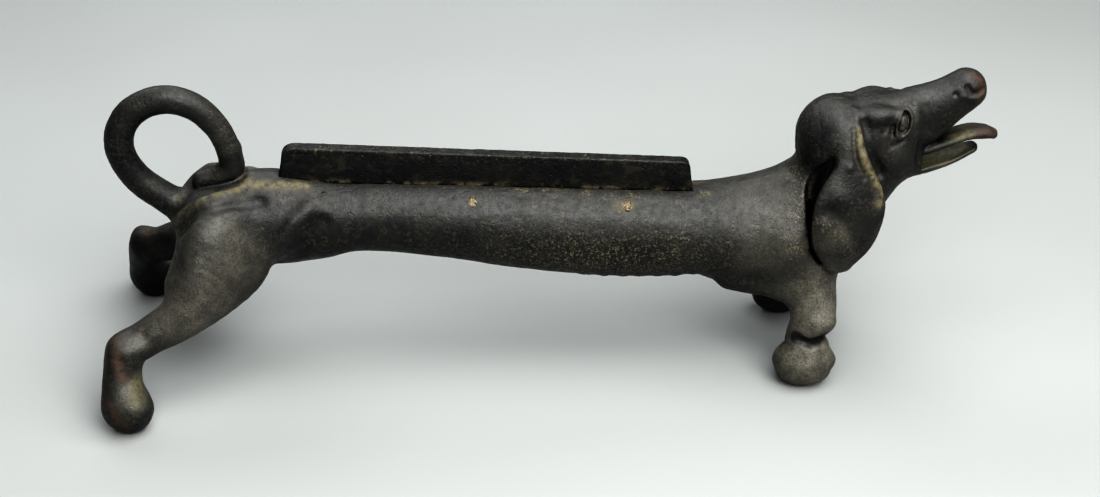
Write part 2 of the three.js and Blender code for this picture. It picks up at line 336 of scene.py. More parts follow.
def ball_field(grid, centre, radii, margin):
    c, r = np.array(centre, float) + (SHIFT, 0, 0), np.array(radii, float)
    cuts, x, y, z = grid.window(c - r - margin, c + r + margin)
    u, v, w = (x - c[0]) / r[0], (y - c[1]) / r[1], (z - c[2]) / r[2]
    k0 = np.sqrt(u * u + v * v + w * w)
    k1 = np.sqrt((u / r[0]) ** 2 + (v / r[1]) ** 2 + (w / r[2]) ** 2)
    return cuts, (k0 * (k0 - 1) / np.maximum(k1, 1e-6)).astype(np.float32)


def path_distance(x, y, z, path):
    """Distance from each point to an open path of points."""
    nearest = FAR
    for a, b in zip(path[:-1], path[1:]):
        d = b - a
        t = (x - a[0]) * d[0] + (y - a[1]) * d[1] + (z - a[2]) * d[2]
        t = np.clip(t / max(float(d @ d), 1e-6), 0, 1)
        off = (x - a[0] - t * d[0]) ** 2 + (y - a[1] - t * d[1]) ** 2 + (z - a[2] - t * d[2]) ** 2
        nearest = np.minimum(nearest, np.sqrt(off))
    return nearest


def skin_y(grid, x, z):
    """The outermost Y of the right side at a drawn X and Z."""
    xi = int(np.argmin(np.abs(grid.axes[0] - (x + SHIFT))))
    zi = int(np.argmin(np.abs(grid.axes[2] - z)))
    line = grid.v[xi, :, zi]
    inside = np.nonzero(line < 0)[0]
    if len(inside) == 0:
        return 0.0
    return float(grid.axes[1][inside[0]])


def on_skin(grid, places):
    """Side-view places (x, z) put onto the skin of the right half. A third value sets Y itself."""
    path = []
    for place in places:
        y = place[2] if len(place) > 2 else skin_y(grid, place[0], place[1])
        path.append((place[0] + SHIFT, y, place[1]))
    path = np.array(path, float)
    if len(path) == 1:
        path = np.vstack([path, path + POINT_LENGTH])
    return path


def swell(grid, places, width, height):
    """Raises the skin by height along a path of side-view places, or lowers it if negative."""
    path = on_skin(grid, places)
    reach = SWELL_REACH * width
    cuts, x, y, z = grid.window(path.min(0) - reach, path.max(0) + reach)
    near = path_distance(x, y, z, path)
    grid.v[cuts] -= (height * np.exp(-(near / width) ** 2)).astype(np.float32)


# ---- Noise ----

def lattice_noise(points, wavelength, seed):
    """Smooth noise between -1 and 1 at points in millimetres."""
    size = 32
    table = np.random.default_rng(seed).uniform(-1, 1, (size, size, size))
    q = points / wavelength
    cell = np.floor(q).astype(int)
    f = q - cell
    f = f * f * (3 - 2 * f)
    total = np.zeros(len(points))
    for corner in np.ndindex(2, 2, 2):
        weight = np.prod([f[:, i] if c else 1 - f[:, i] for i, c in enumerate(corner)], axis=0)
        at = (cell + corner) % size
        total += weight * table[at[:, 0], at[:, 1], at[:, 2]]
    return total


def layered_noise(points, layers, seed):
    """Noise layers added up, each given as (height, wavelength)."""
    return sum(height * lattice_noise(points, wavelength, seed + i)
               for i, (height, wavelength) in enumerate(layers))


def pitting(points, pits, seed):
    """The depth of scattered pits, given as (wavelength, threshold, depth)."""
    wavelength, threshold, depth = pits
    return depth * np.clip(lattice_noise(points, wavelength, seed) - threshold, 0, 1)


# ---- The sculpted skin of the right half, drawn at negative Y ----

# Tubes are lists of stations: the drawn X, Y and Z, then the half width across and the half
# thickness along the tube's normal.
TRUNK = [
    (-206, 0, 98, 24, 25), (-184, 0, 100, 27.5, 27), (-160, 0, 100, 26.5, 26),
    (-140, 0, 101, 25, 24.5), (-120, 0, 102.5, 23, 23), (-90, 0, 101, 23.6, 23.6),
    (-60, 0, 98.3, 25.2, 25), (-22, 0, 94, 27.7, 27), (20, 0, 90.6, 29.3, 28.5),
    (55, 0, 88.8, 29.6, 29), (86, 0, 89, 28.5, 28.8), (98, 0, 88, 31, 30.5),
    (114, 0, 86.3, 34.8, 33.5), (132, 0, 86, 36.2, 34), (152, 0, 88, 33, 32),
]
NECK = [
    (149, 0, 94, 31, 31), (163, 0, 114, 28.5, 28), (170, 0, 132, 25.5, 25.5),
    (170.5, 0, 150, 24.5, 24),
]
THROAT = [(176, 0, 104, 20, 20), (187, 0, 122, 19, 20), (198, 0, 140, 19, 18.5)]
SKULL = [
    (168, 0, 152.5, 25, 24), (186, 0, 157.5, 21.5, 21), (203, 0, 161.5, 18.5, 17.5),
    (219, 0, 167, 18.5, 14), (233, 0, 176, 14.5, 12.2), (242.5, 0, 183.5, 12.2, 11.6),
]
JAW = [
    (198, 0, 143, 19, 18), (208, 0, 138.5, 15, 15.5), (222, 0, 136, 8.8, 12),
    (238, 0, 140, 6.2, 10), (251, 0, 144.3, 4, 6.5),
]
NOSE = (245.5, -2, 180.5)
NOSE_RADII = (7.5, 8, 7.5)
BROW = [(179, -12, 169, 6, 7), (189, -13, 171.5, 6.5, 6.5), (198, -13.5, 171.5, 5, 4.5)]
EYE = (202.6, 168.2)
EYE_RADII = (3.9, 9, 6.8)
EYE_LEAN = 0.12
EYE_REACH = 13
EYE_RINGS = ((1.6, 0.0, 0.6), (1.7, 1.25, 0.24), (-1.6, 0.85, 0.16))  # height, radius and width
TONGUE = [
    (214, 0, 141.5, 3.4, 8.4), (232, 0, 148, 3.8, 8.8), (246, 0, 153.4, 3.8, 8.4),
    (257, 0, 154.0, 3.9, 7.0), (263, 0, 152.6, 3.2, 5.0),
]
EAR = [
    (169, -16, 163, 6.5, 5.5), (170.2, -24, 155, 8, 5.5), (171.2, -30.5, 142, 14.2, 5.2),
    (171.2, -35.5, 126, 22, 5), (170.4, -37.5, 110, 21.8, 5), (169.2, -37.5, 96, 18.4, 5.2),
    (167.8, -36.5, 83, 9.5, 5),
]
HIND_LEG = [
    (-194, -13, 101, 30, 20), (-198.5, -26, 89, 32, 18), (-208, -37, 74, 25, 15),
    (-225, -46.5, 60, 15.8, 12.8), (-243, -53, 51.5, 11.8, 11),
    (-255.5, -58, 44.5, 11, 10.6), (-257.8, -65, 34, 9.9, 9.8), (-257, -71.5, 23, 11.5, 11),
]
FRONT_LEG = [
    (143, -15, 88, 27, 19), (151, -24, 69, 20.5, 16), (156.5, -30, 54, 15.2, 13.8),
    (157.5, -35, 45, 13.6, 12.8),
]
FRONT_PAW = [
    (154.5, -36, 44, 10, 9.5), (151.6, -38.5, 34, 11, 9.6), (153.2, -40.5, 26.5, 14.6, 11.4),
    (153, -41.2, 18.5, 19.8, 13), (152.8, -41.2, 11.8, 18, 11.8),
]
CHEST_FOLD = [(106, -17.5, 64.5, 8.5, 8.5), (120, -20, 63.5, 9.2, 9.2), (134, -23, 63, 9.6, 9.6)]
EAR_ROOT_Z = (144, 160)
EAR_BLENDS = (2.0, 9.0)
EAR_GAP = [
    (160, -29, 149, 0.6, 3), (156.6, -27, 143, 1.9, 5.5), (153.0, -24, 136, 3.8, 7.5),
    (151.2, -23, 128, 4.0, 9), (150.6, -26, 116, 3.0, 8.5), (150.8, -29, 104, 2.7, 8),
    (151.8, -31, 94, 2.5, 7.5), (155.6, -32.5, 87, 1.9, 6), (160, -33, 83.5, 1.0, 4),
]
# behind the ear's middle the metal joins it to the neck
EAR_WEB = [(176, -24, 152, 8, 5), (178, -26, 138, 9, 6), (178, -27, 120, 10, 6), (175, -28, 98, 9, 6)]
EAR_WEB_NORMAL = (1, 0, 0)
EAR_FOLD = [(154.5, 113), (162, 107), (171, 99)]
RUMP = [(-212, -11, 108, 13, 12), (-214, -24, 92, 14, 12), (-222, -36, 76, 13, 11)]
RUMP_CREST = [
    (-229, 106, -15), (-219, 117, -20), (-210, 124, -21), (-199, 126, -17), (-189, 127, -13),
    (-184, 129, -8),
]
SACRUM = [
    (-208, 0, 114, 10, 11), (-188, 0, 120.5, 9, 12), (-168, 0, 121.5, 9, 12), (-146, 0, 117, 8, 10),
]
GROIN = [(-196, 0, 86, 13, 12), (-168, 0, 82.5, 13, 11.5), (-140, 0, 84, 11, 10), (-134, 0, 84.5, 9, 9)]
HIND_PAW = (-256.4, -74.6, 14.8)
HIND_PAW_RADII = (14.9, 13, 15.8)
HEEL = [(-258, -61, 47, 10, 10), (-261, -69, 30, 9.4, 9.4), (-262.2, -75, 16, 9.2, 10)]
RIB_PLACES = (2, 13, 24, 35, 46, 57, 68)
FRONT_TOE_GROOVES = (-47.5, -41.5, -35.5)  # their Y
HIND_TOE_GROOVES = (-81.5, -75.5, -69.5)
TAIL = [
    (-206, 0, 97, 11, 11), (-221, 0, 105.5, 10, 10), (-234, 0, 114.8, 9, 9),
    (-248.4, 0, 127, 8.6, 8.6), (-257, 0, 142, 8.5, 8.5), (-257.8, 0, 157.6, 8.5, 8.5),
    (-250.5, 0, 171.2, 8.5, 8.5), (-238, 0, 178.8, 8.4, 8.4), (-224, 0, 179.6, 8.2, 8.2),
    (-210.5, 0, 173.2, 7.9, 7.9), (-200.6, 0, 161, 7.5, 7.5), (-195, 0, 147, 7.3, 7.3),
]
TAIL_TIP = [
    (-195, 0, 147, 7.3, 7.3), (-194.5, 0, 135.5, 7.6, 7.4), (-202, 0, 128.6, 7.4, 7),
    (-212, 0, 126, 6.3, 6.2),
]
# Relief laid on the skin in this order, as a side-view path, its width and its height.
BODY_RELIEF = [
    # the crest of the rump, from the tail's root to the blade, with a groove under it
    (RUMP_CREST, 2.6, 3.0),
    ([(-222, 109, -28), (-214, 118, -29), (-203, 122, -28), (-192, 122, -23), (-177, 121, -18)],
     3.2, -2.2),
    # a shallow groove under the blade, with a fuller band below it
    ([(-30, 117, -10), (20, 113.5, -11), (70, 111, -13)], 3.0, -0.8),
    ([(-20, 110, -18), (20, 107.5, -20), (66, 105, -21)], 4.0, 0.7),
    # the edge of the haunch over the flank
    ([(-150, 117, -20), (-158, 111, -26), (-164, 101, -29), (-171, 90, -29), (-178, 80, -24)],
     5, 3.4),
    ([(-141, 109, -23), (-149, 97, -24), (-157, 86, -22), (-166, 76, -18)], 4.4, -3.4),
    # ribs that run down and forward on the lower flank
    *(([(x, 86), (x + 8, 74), (x + 16, 66)], 2.6, 0.9) for x in RIB_PLACES),
    # shoulder, elbow and wrist
    ([(138, 96), (146, 76)], 13, 0.8),
    ([(118, 70), (128, 62)], 6, -0.7),
    ([(167, 45), (160, 41), (153, 40)], 5, 2.4),
    ([(161, 34), (155, 33.5), (148, 36)], 2.6, -2.6),
    ([(140, 50), (139, 36)], 3.5, -1.0),
    ([(146, 74), (150, 58)], 6, -0.8),
    # hock
    ([(-262, 54), (-264, 46)], 5, 1.4),
    ([(-257, 45), (-254, 36)], 3.5, -1.3),
    ([(-249, 50), (-243, 44)], 4, 0.9),
    ([(-248, 30), (-246, 26)], 4, -1.6),
    ([(-252, 20), (-246, 18)], 5, 1.1),
    ([(-246, 58)], 2.6, -1.2),
    ([(-255.5, 50), (-243, 51)], 3, 1.0),
    # toes
    *(([(172, 6, y), (166, 14, y), (158, 20, y)], 1.5, -0.8) for y in FRONT_TOE_GROOVES),
    *(([(-243, 6, y), (-246, 16, y), (-251, 24, y)], 1.5, -0.7) for y in HIND_TOE_GROOVES),
]
HEAD_RELIEF = [
    # pits and folds behind the eye, and the cheekbone in front of it
    ([(196.6, 167), (196, 163)], 1.5, -2.2),
    ([(192, 168), (191, 164)], 1.4, -1.0),
    ([(199.3, 172), (198.6, 160)], 1.4, 1.0),
    ([(204, 159), (201, 156), (196, 155)], 1.8, -1.0),
    ([(209.5, 178), (211, 168), (212.5, 157), (213, 150)], 2.4, 1.3),
    ([(216, 176), (217, 163)], 3.2, -0.9),
    # dark valley between the ear and the round cheek
    ([(178.5, 170), (181, 160), (183, 151), (186.5, 143), (191, 137)], 3.6, -3.6),
    ([(198, 149), (204, 147)], 8, 2.0),
    # corner of the mouth, and the upper lip
    ([(214.5, 154), (215, 146), (216, 141)], 2.0, -1.6),
    ([(222, 150), (234, 163), (245, 174)], 2.0, 1.1),
    ([(226, 160), (236, 170), (243, 178)], 2.4, -0.6),
    # nostril, the wing around it and the groove under the nose
    ([(240, 188.5), (242.5, 185.4), (246.5, 184.6), (250, 186)], 1.5, -3.0),
    ([(238, 182.5), (245, 181), (250, 185)], 2.2, 1.0),
    ([(233.5, 184)], 1.3, -1.4),
    # the ear's front roll, the crease and knob behind it, and the folds low down
    ([(173.6, 174), (174.3, 168), (175, 161), (177.2, 154), (183.3, 143), (188, 133), (188, 125)],
     2.3, 2.4),
    ([(171.8, 168), (171.6, 159), (173, 152), (178, 142)], 1.5, -1.4),
    ([(169.4, 148)], 1.9, 1.6),
    (EAR_FOLD, 5.0, 1.9),
    ([(158, 123), (166, 115.5), (174, 106), (177.5, 95)], 3.8, -2.2),
    ([(163, 132), (176, 124), (186, 113)], 5.0, 1.2),
]
JAW_TROUGH = [(222, 0, 139.5, 6.5, 10.6), (238, 0, 142, 4.6, 8.7), (248.5, 0, 146.4, 3.4, 5.5)]
PALATE = [(222, 0, 152, 3, 6.5), (238, 0, 166, 3.5, 6), (246, 0, 174, 2.5, 4)]
MOUTH = [(218.5, 134), (237, 138.8), (264, 150.4), (266, 188), (243, 166.5), (219, 142.5)]
MOUTH_REGION = ((205 + SHIFT, -40, 125), (275, 5, 195))
LIP_BLEND = 2.2


def polygon_distance(x, z, corners):
    """Signed distance in the XZ plane to a closed outline, negative inside."""
    corners = np.array(corners, float)
    nearest = np.full(np.broadcast(x, z).shape, FAR * FAR)
    inside = np.zeros(nearest.shape, bool)
    for a, b in zip(corners, np.roll(corners, -1, 0)):
        d = b - a
        t = np.clip(((x - a[0]) * d[0] + (z - a[1]) * d[1]) / float(d @ d), 0, 1)
        nearest = np.minimum(nearest, (x - a[0] - t * d[0]) ** 2 + (z - a[1] - t * d[1]) ** 2)
        straddles = (z >= min(a[1], b[1])) & (z < max(a[1], b[1]))
        slope = d[0] / d[1] if d[1] else 0.0
        inside ^= straddles & (x < a[0] + (z - a[1]) * slope)
    return np.where(inside, -1, 1) * np.sqrt(nearest)


def open_mouth(grid):
    """Cuts the open mouth as a wedge from side to side, then the jaw's trough and the palate."""
    corners = [(x + SHIFT, z) for x, z in MOUTH]
    cuts, x, y, z = grid.window(*MOUTH_REGION)
    wedge = polygon_distance(x[:, 0, :], z[0], corners).astype(np.float32)[:, None, :]
    grid.v[cuts] = smooth_max(grid.v[cuts], -(wedge + 0 * y), LIP_BLEND)
    cut_tube(grid, JAW_TROUGH, 1.2)
    cut_tube(grid, PALATE, 1.4)


def sculpt():
    """The whole skin of the right half, from the large forms to the small ones."""
    grid = Grid(*(axis(*stretches) for stretches in SCULPT_AXES))
    add_tube(grid, TRUNK, 2)
    add_tube(grid, NECK, 16)
    add_tube(grid, THROAT, 12)
    add_tube(grid, SKULL, 9)
    add_tube(grid, JAW, 6)
    add_ball(grid, NOSE, NOSE_RADII, 4)
    add_tube(grid, SACRUM, 8)
    add_tube(grid, GROIN, 4)
    add_tube(grid, HIND_LEG, 7, HIND_LEG_NORMAL)
    add_tube(grid, RUMP, 9, HIND_LEG_NORMAL)
    add_tube(grid, CHEST_FOLD, 3)
    add_tube(grid, FRONT_LEG, 10, FRONT_LEG_NORMAL)
    swell(grid, [(174.5, 173, -12), (176, 174, 0)], 7, -2.6)
    add_tube(grid, BROW, 3)
    for _ in range(SMOOTH_PASSES):
        grid.blur()
    add_tube(grid, HEEL, 5)
    add_ball(grid, HIND_PAW, HIND_PAW_RADII, 4)
    add_tube(grid, FRONT_PAW, 2)
    add_tube(grid, TAIL, 6)
    add_tube(grid, TAIL_TIP, 1.6)
    cuts, ear = tube_field(grid, EAR, EAR_NORMAL, 4, 12)
    height = grid.axes[2][cuts[2]][None, None, :]
    # the ear's edge is crisp low down and melts into the skull at its root
    ear_blend = np.interp(height, EAR_ROOT_Z, EAR_BLENDS).astype(np.float32)
    grid.v[cuts] = smooth_min(grid.v[cuts], ear, ear_blend)
    cut_tube(grid, EAR_GAP, 1.8)
    add_tube(grid, EAR_WEB, 3, EAR_WEB_NORMAL)
    for entry in BODY_RELIEF:
        swell(grid, *entry)
    carve_eye(grid)
    for entry in HEAD_RELIEF:
        swell(grid, *entry)
    open_mouth(grid)
    add_tube(grid, TONGUE, 1.5)
    swell(grid, [(232, 152, 0), (246, 157.3, 0), (257, 157.2, 0)], 1.7, -0.8)
    grid.blur()
    return grid


def carve_eye(grid):
    """A tall almond with a deep socket, a ball and a raised rim."""
    x, z = EYE
    y = skin_y(grid, x, z)
    middle = np.array((x + SHIFT, y, z))
    cuts, gx, gy, gz = grid.window(middle - EYE_REACH, middle + EYE_REACH)
    across = (gx - middle[0] - (gz - z) * EYE_LEAN) / EYE_RADII[0]
    r = np.sqrt(across ** 2 + ((gz - z) / EYE_RADII[2]) ** 2 + ((gy - y) / EYE_RADII[1]) ** 2)
    relief = sum(height * np.exp(-((r - radius) / width) ** 2) for height, radius, width in EYE_RINGS)
    grid.v[cuts] -= relief.astype(np.float32)


SKIN = sculpt()

# ---- The hollow inside ----

THROAT_CORE = [(181, 0, 112, 13, 13), (189, 0, 126, 12, 12)]
SKULL_CORE = [(171, 0, 153, 20, 19), (196, 0, 158, 15, 13.5)]
THIGH_CORE = ((-196, -20, 92), (18, 13, 15))
SHOULDER_CORE = ((148, -19, 77), (18, 13, 18))


def shrunk(stations, wall):
    return [(x, y, z, across - wall, thick - wall) for x, y, z, across, thick in stations]


def cavity_mesh():
    """The hollow of the right half, less the bosses and the rib that the rivets go through."""
    grid = Grid(*(axis(*stretches) for stretches in CAVITY_AXES))
    add_tube(grid, shrunk(TRUNK, WALL), 2)
    add_tube(grid, shrunk(NECK, NECK_WALL), 10)
    add_tube(grid, THROAT_CORE, 6)
    add_tube(grid, SKULL_CORE, 6)
    add_ball(grid, *THIGH_CORE, 4)
    add_ball(grid, *SHOULDER_CORE, 4)
    cuts, x, y, z = grid.window(*EVERYWHERE)
    for name in ("rump_rivet", "chest_rivet", "neck_rivet"):
        place = RIVETS[name]
        boss = np.hypot(x - place[0], z - place[2]) - BOSS_RADIUS
        grid.v[cuts] = np.maximum(grid.v[cuts], -boss)
    foot = spine_height(x)
    rib = np.maximum(np.abs(y) - RIB_HALF, np.abs(z - foot) - TANG_DEPTH - WALL)
    rib = np.maximum(rib, np.maximum(BLADE_LOW[0] - x, x - BLADE_HIGH[0]))
    grid.v[cuts] = np.maximum(grid.v[cuts], -rib)
    return grid.mesh()


def fade(values, start, length):
    """0 up to the start, rising to 1 over the length."""
    return np.clip((values - start) / length, 0, 1)


def spine_height(x):
    """The height of the blade's foot, where it meets the back."""
    t = (x - BLADE_LOW[0]) / (BLADE_HIGH[0] - BLADE_LOW[0])
    return BLADE_REAR_FOOT + SPINE_RISE + t * (BLADE_FRONT_FOOT - BLADE_REAR_FOOT)


# ---- Meshes ----

def add_object(name, data):
    obj = bpy.data.objects.new(name, data)
    bpy.context.scene.collection.objects.link(obj)
    return obj


def bmesh_object(name, bm):
    """Turns the bmesh into a linked object and frees it."""
    mesh = bpy.data.meshes.new(name)
    bm.to_mesh(mesh)
    bm.free()
    return add_object(name, mesh)


def mesh_object(name, points, faces):
    mesh = bpy.data.meshes.new(name)
    mesh.vertices.add(len(points))
    mesh.vertices.foreach_set("co", np.asarray(points, np.float32).ravel())
    faces = np.asarray(faces, np.int32)
    count, corners = faces.shape
    mesh.loops.add(count * corners)
    mesh.loops.foreach_set("vertex_index", faces.ravel())
    mesh.polygons.add(count)
    mesh.polygons.foreach_set("loop_start", np.arange(count, dtype=np.int32) * corners)
    mesh.update(calc_edges=True)
    mesh.validate()
    return add_object(name, mesh)


def vertex_array(mesh):
    co = np.empty(len(mesh.vertices) * 3, np.float32)
    mesh.vertices.foreach_get("co", co)
    return co.reshape(-1, 3).astype(float)


def prism(outline, y0, y1):
    """A closed solid from a side outline (x, z), between two Y planes."""
    bm = bmesh.new()
    rear = [bm.verts.new((x, y0, z)) for x, z in outline]
    front = [bm.verts.new((x, y1, z)) for x, z in outline]
    bm.faces.new(rear)
    bm.faces.new(list(reversed(front)))
    for i in range(len(outline)):
        j = (i + 1) % len(outline)
        bm.faces.new((rear[j], rear[i], front[i], front[j]))
    bmesh.ops.recalc_face_normals(bm, faces=bm.faces[:])
    bmesh.ops.triangulate(bm, faces=bm.faces[:])
    return bmesh_object("cutter", bm)


def circle(x, z, radius):
    turns = 2 * math.pi * np.arange(RIVET_SIDES) / RIVET_SIDES
    return [(x + radius * math.cos(a), z + radius * math.sin(a)) for a in turns]


def slab(y0, y1, z0, z1):
    """A box over the whole length of the dog."""
    corners = [(-CUT_LENGTH, z0), (CUT_LENGTH, z0), (CUT_LENGTH, z1), (-CUT_LENGTH, z1)]
    return prism(corners, y0, y1)


def rivet_hole(name, reach):
    """The cutter for one rivet's hole, from -reach to reach in Y."""
    x, _, z = RIVETS[name]
    return prism(circle(x, z, RIVET_SHANK + RIVET_CLEARANCE), -reach, reach)


def cut(obj, cutters):
    """Takes the cutters away from the object, and deletes them."""
    for cutter in cutters:
        step = obj.modifiers.new("cut", "BOOLEAN")
        step.operation = "DIFFERENCE"
        step.solver = "MANIFOLD"
        step.object = cutter
    bpy.context.view_layer.update()
    depsgraph = bpy.context.evaluated_depsgraph_get()
    mesh = bpy.data.meshes.new_from_object(obj.evaluated_get(depsgraph))
    obj.modifiers.clear()
    old = obj.data
    obj.data = mesh
    bpy.data.meshes.remove(old)
    for cutter in cutters:
        bpy.data.objects.remove(cutter)


def drop_splinters(mesh):
    """Deletes the loose splinters that cutting leaves, and keeps the largest piece."""
    bm = bmesh.new()
    bm.from_mesh(mesh)
    unseen = set(bm.verts)
    pieces = []
    for start in bm.verts:
        if start not in unseen:
            continue
        unseen.remove(start)
        front, piece = [start], []
        while front:
            vert = front.pop()
            piece.append(vert)
            for edge in vert.link_edges:
                other = edge.other_vert(vert)
                if other in unseen:
                    unseen.remove(other)
                    front.append(other)
        pieces.append(piece)
    pieces.sort(key=len)
    bmesh.ops.delete(bm, geom=[vert for piece in pieces[:-1] for vert in piece], context="VERTS")
    bm.to_mesh(mesh)
    bm.free()


def blade_outline(grow=0.0):
    """The blade's side outline, with rounded upper corners."""
    rear, front = BLADE_LOW[0] - grow, BLADE_HIGH[0] + grow
    rear_top, front_top = BLADE_REAR_TOP + grow, BLADE_FRONT_TOP + grow
    points = [(rear, BLADE_REAR_FOOT - grow), (front, BLADE_FRONT_FOOT - grow)]

    def corner(before, tip, after):
        before, tip, after = (np.array(p, float) for p in (before, tip, after))
        return [tuple((1 - t) ** 2 * before + 2 * t * (1 - t) * tip + t * t * after)
                for t in np.linspace(0, 1, CORNER_POINTS)]

    slope = (front_top - rear_top) / (front - rear)
    f, r = BLADE_FRONT_CORNER, BLADE_REAR_CORNER
    tip = (front - BLADE_END_LEAN, front_top)
    points += corner((tip[0] + CORNER_LEAN, tip[1] - f), tip, (tip[0] - f, tip[1] - slope * f))
    tip = (rear + BLADE_END_LEAN, rear_top)
    points += corner((tip[0] + r, tip[1] + slope * r), tip, (tip[0] - CORNER_LEAN, tip[1] - r))
    return points


def tang_outline(grow=0.0):
    """The tang's side outline, from inside the blade down to its depth."""
    rear, front = BLADE_LOW[0] + TANG_INSET - grow, BLADE_HIGH[0] - TANG_INSET + grow
    return [
        (rear, spine_height(rear) - TANG_DEPTH - grow), (front, spine_height(front) - TANG_DEPTH - grow),
        (front, spine_height(front) + TANG_OVERLAP), (rear, spine_height(rear) + TANG_OVERLAP),
    ]


def flank_mask(points):
    """1 on the rough part of the barrel, falling to 0 away from it."""
    along = np.exp(-((points[:, 0] - FLANK[0]) / FLANK_SIZE[0]) ** 2)
    return along * np.exp(-((points[:, 2] - FLANK[1]) / FLANK_SIZE[1]) ** 2)


def grain(points, normals):
    """Cast-surface relief along the normals: slow waves, sand grain, pits and a parting line."""
    rough = 0.5 + flank_mask(points)
    waves = layered_noise(points, CASTING_WAVES, GRAIN_SEED)
    sand = layered_noise(points, CASTING_SAND, GRAIN_SEED + 2)
    pits = pitting(points, CASTING_PITS, GRAIN_SEED + 4)
    parting = np.exp(-(points[:, 1] / PARTING_WIDTH) ** 2)
    parting = PARTING_HEIGHT * parting * (0.6 + lattice_noise(points, PARTING_WAVE, GRAIN_SEED + 5))
    moved = points + normals * (waves + (sand - pits) * rough + parting)[:, None]
    low, high = (np.array(corner) / MM for corner in CAD_BOUNDS)
    return np.clip(moved, low + BOX_MARGIN, high - BOX_MARGIN)


def finish_piece(obj, node, material, sharp=CASTING_SHARP):
    """Scales a piece to metres, shades it, gives it its material, hides the part it replaces and puts it
    under the root.
    """
    obj.data.transform(Matrix.Scale(MM, 4))
    obj.data.shade_smooth()
    obj.data.set_sharp_from_angle(angle=math.radians(sharp))
    obj.data.materials.clear()
    obj.data.materials.append(material)
    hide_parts(node)
    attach(obj, ROOT)


def set_attribute(mesh, name, values):
    layer = mesh.attributes.new(name, "FLOAT", "POINT")
    layer.data.foreach_set("value", np.asarray(values, np.float32))


# ---- Where dirt, rust, wear, painted shade and painted highlights lie, as distances from side-view paths on the skin ----

def on_right(points):
    """The points with those of the left half mirrored onto the right half."""
    folded = points.copy()
    folded[:, 1] = -np.abs(points[:, 1])
    return folded


def zone(points, paths, width):
    """1 on the paths, falling to 0 at about twice the width. The points lie on the right half."""
    best = np.zeros(len(points))
    for places in paths:
        near = path_distance(points[:, 0], points[:, 1], points[:, 2], on_skin(SKIN, places))
        best = np.maximum(best, np.exp(-(near / width) ** 2))
    return best


def patch(points, x, z, width):
    """1 at a drawn side-view place, falling to 0 at about twice the width from it."""
    off = (points[:, 0] - x - SHIFT) ** 2 + (points[:, 2] - z) ** 2
    return np.exp(-off / width ** 2)


FRONT_RIVET = RIVETS["blade_rivet_front"]
# tan dust, and a painted highlight along the lit crest of the rump and the ear's front roll
DUST_AND_HIGHLIGHT_PATHS = [
    RUMP_CREST,
    [(FRONT_RIVET[0] - SHIFT - 6, FRONT_RIVET[2]), (FRONT_RIVET[0] - SHIFT + 1, FRONT_RIVET[2])],
    [(-184, 129, -9), (-177, 128, -10), (-169, 128, -10), (-160, 128, -9), (-150, 126.5, -9)],
    [(175, 167), (175.3, 160.5), (177.6, 153), (183.8, 142), (189, 133), (189, 124)],
    [(-224.5, 115.5, -6), (-221.5, 115, -7)],
]
SPECK_PATHS = [
    [(142, 132), (145, 119), (145.5, 105), (142, 97)],
    EAR_FOLD,
]
RUST_PATHS = [
    [(-261.5, 57, -64), (-260.5, 46, -72), (-257.5, 38, -76)],
    [(-256, 57, -53), (-252, 58.5, -51)],
    [(244, 194, -5), (250, 190, -6), (249.5, 182, -10), (248, 174, -7), (240, 166, -8)],
    [(251, 180, -6), (246, 171, -6), (238, 163.5, -7)],
    [(253.5, 155.5, -5), (262, 153, -4)],
    [(255, 156, 0), (263, 153, 0)],
    [(-265, 24), (-258, 12)],
]
# places in deep shade, painted near black as shade
PAINTED_SHADE_PATHS = [
    [(place[0], place[2], place[1]) for place in EAR_GAP],
    [(161, 146, -25), (157, 140, -21), (155, 130, -20), (154, 118, -22)],
    [(162, 37, -46), (153, 34, -47), (146, 36.5, -45)],
]
PAINTED_SHADE_WIDTH = 4.6
# painted shade under the belly beside the thigh, and on the inner faces of the legs
BELLY_SHADE = (-132, 86, 18)  # side-view x, z and width
BELLY_PAINTED_SHADE = 0.45
INNER_PAINTED_SHADE = 0.55  # on the inner faces of the legs
INNER_SLOPE = (0.05, 0.4)  # where and over what the Y of their normal counts as inward
INNER_TOP = 72
INNER_FADE = 12
THIGH_SIDE = 25  # how far out the thigh begins, beside the flank
THIGH_FADE = 8
HIND_LEG_LIMITS = (-60, 130)  # it lies behind this X and below this Z
CREVICE_REACHES = (2.5, 5.0, 9.0)
SPECK_WIDTH = 7.0
SPECK_STRENGTH = 0.8
# patchy dirt along the blade's foot
GRIME_PATHS = [[(-24, 121, -7), (20, 118.7, -8), (60, 116.9, -9), (90, 117, -7)]]
# pale places, partly dust and partly painted highlight on the lit legs, thigh and eye rim, as side-view
# x, z, width and strength
ASH_AND_HIGHLIGHT_PATCHES = [
    (160, 58, 26, 1.15), (154, 20, 22, 1.25), (-192, 94, 32, 0.58), (-212, 68, 26, 0.9),
    (-248, 53, 8, 0.5), (-253, 26, 9, 0.5), (128, 100, 26, 0.45), (163, 106, 12, 0.5),
    (202.6, 168, 7, 0.45), (232, 138.5, 7, 0.35), (-200, 158, 11, 0.3), (197, 149, 12, 0.16),
]
OLIVE_PATHS = [
    [(-250, 32), (-250, 26)],
    [(241, 152, -6), (246, 154, -5)],
    [(221, 134, -5), (236, 138, -4), (246, 142.5, -1)],
    [(221, 134, 2), (236, 138, 2)],
    [(150, 6, -45)],
]
# masks that follow paths only, with their widths
PATH_MASKS = {
    "dust_and_highlight": (DUST_AND_HIGHLIGHT_PATHS, 3.0), "rust": (RUST_PATHS, 3.4), "olive": (OLIVE_PATHS, 5.0),
    "grime": (GRIME_PATHS, 2.8),
}


